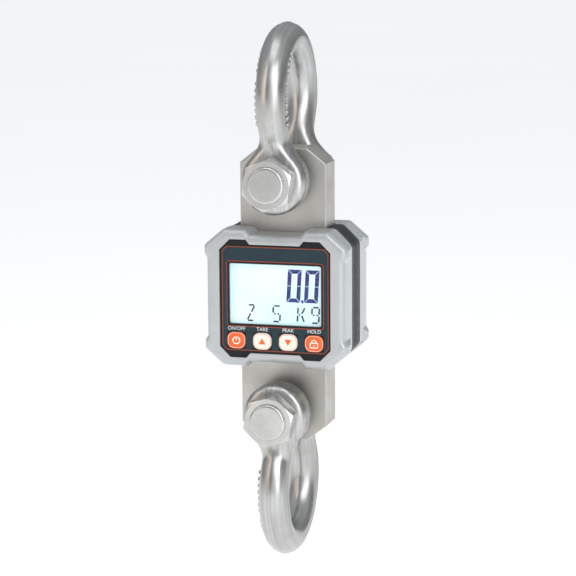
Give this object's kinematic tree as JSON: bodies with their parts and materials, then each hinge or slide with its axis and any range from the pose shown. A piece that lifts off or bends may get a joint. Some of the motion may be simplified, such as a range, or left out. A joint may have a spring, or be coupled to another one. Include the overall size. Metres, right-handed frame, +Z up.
{
  "type": "crane scale",
  "caption": "Shackle-type electronic crane scale: flat steel load cell between bow shackles, with a clamped-on display housing.",
  "frame": {"origin": "inside of the upper bow's crown, where the crane hook bears", "axes": "+Z up along the line of pull, the display faces -Y, +X to the right of someone reading it"},
  "size_m": [0.1168, 0.147, 0.4288],
  "materials": {
    "shackle_steel": "galvanised forged steel, worn smooth",
    "bolt_steel": "galvanised steel",
    "pin_steel": "drawn steel wire",
    "cell_steel": "fine ground alloy steel, nickel plated",
    "cover_steel": "thin stainless steel disc",
    "foil": "etched foil on film",
    "board": "green solder mask",
    "shell": "silver-grey painted moulding, satin gloss",
    "band": "black rubber, satin",
    "seal": "black rubber",
    "label": "printed polyester overlay, satin",
    "lens": "clear acrylic",
    "orange_key": "orange silicone rubber",
    "cream_key": "cream silicone rubber",
    "switch": "black moulded switch bodies",
    "plunger": "black moulded plunger",
    "lcd": "liquid crystal cell",
    "diffuser": "white light guide",
    "white_plastic": "white moulded frame and sockets",
    "chip": "black moulded package",
    "shield": "tin-plated can",
    "copper": "bare wire",
    "cable": "black sheath",
    "battery": "plain film sleeve",
    "spring_steel": "nickel-plated spring steel",
    "screw_steel": "zinc-plated steel"
  },
  "bodies": {
    "upper_shackle": {"upper_bow": "shackle_steel"},
    "upper_bolt_set": {"upper_bolt": "bolt_steel", "upper_nut": "bolt_steel", "upper_split_pin": "pin_steel"},
    "scale_body": {"load_cell_plate": "cell_steel", "front_pocket_cover": "cover_steel", "rear_pocket_cover": "cover_steel", "strain_gauges": "foil", "gauge_terminal_board": "board", "front_housing": "shell", "rear_housing": "shell", "left_side_band": "band", "right_side_band": "band", "plate_gaskets": "seal", "panel_label": "label", "window_lens": "lens", "key_switches": "switch", "display_glass": "lcd", "backlight": "diffuser", "display_frame": "white_plastic", "main_board": "board", "board_screws": "screw_steel", "board_chips": "chip", "board_sockets": "white_plastic", "radio_module": "shield", "radio_antenna": "copper", "gauge_cable": "cable", "battery_cable": "cable", "batteries": "battery", "contact_plates": "spring_steel", "contact_springs": "spring_steel", "battery_door": "shell", "door_gasket": "seal", "door_screws": "screw_steel", "corner_screws": "screw_steel", "cell_screws": "screw_steel"},
    "lower_shackle": {"lower_bow": "shackle_steel"},
    "lower_bolt_set": {"lower_bolt": "bolt_steel", "lower_nut": "bolt_steel", "lower_split_pin": "pin_steel"},
    "power_button": {"power_key": "orange_key", "power_plunger": "plunger"},
    "tare_button": {"tare_key": "cream_key", "tare_plunger": "plunger"},
    "peak_button": {"peak_key": "cream_key", "peak_plunger": "plunger"},
    "hold_button": {"hold_key": "orange_key", "hold_plunger": "plunger"}
  },
  "joints": [
    {"name": "upper_shackle_swing", "type": "hinge", "parent": "upper_shackle", "child": "scale_body", "pos_m": [0, 0, -0.097], "axis": [0, 1, 0], "range_deg": [-115, 115]},
    {"name": "upper_bolt_turn", "type": "hinge", "parent": "upper_shackle", "child": "upper_bolt_set", "pos_m": [0, 0, -0.097], "axis": [0, 1, 0], "continuous": true},
    {"name": "lower_shackle_swing", "type": "hinge", "parent": "scale_body", "child": "lower_shackle", "pos_m": [0, 0, -0.283], "axis": [0, 1, 0], "range_deg": [-115, 115]},
    {"name": "lower_bolt_turn", "type": "hinge", "parent": "lower_shackle", "child": "lower_bolt_set", "pos_m": [0, 0, -0.283], "axis": [0, 1, 0], "continuous": true},
    {"name": "power_press", "type": "slide", "parent": "scale_body", "child": "power_button", "axis": [0, 1, 0], "range_m": [0, 0.0006], "stiffness_N_per_m": 2000, "springref_m": -0.0005},
    {"name": "tare_press", "type": "slide", "parent": "scale_body", "child": "tare_button", "axis": [0, 1, 0], "range_m": [0, 0.0006], "stiffness_N_per_m": 2000, "springref_m": -0.0005},
    {"name": "peak_press", "type": "slide", "parent": "scale_body", "child": "peak_button", "axis": [0, 1, 0], "range_m": [0, 0.0006], "stiffness_N_per_m": 2000, "springref_m": -0.0005},
    {"name": "hold_press", "type": "slide", "parent": "scale_body", "child": "hold_button", "axis": [0, 1, 0], "range_m": [0, 0.0006], "stiffness_N_per_m": 2000, "springref_m": -0.0005}
  ]
}
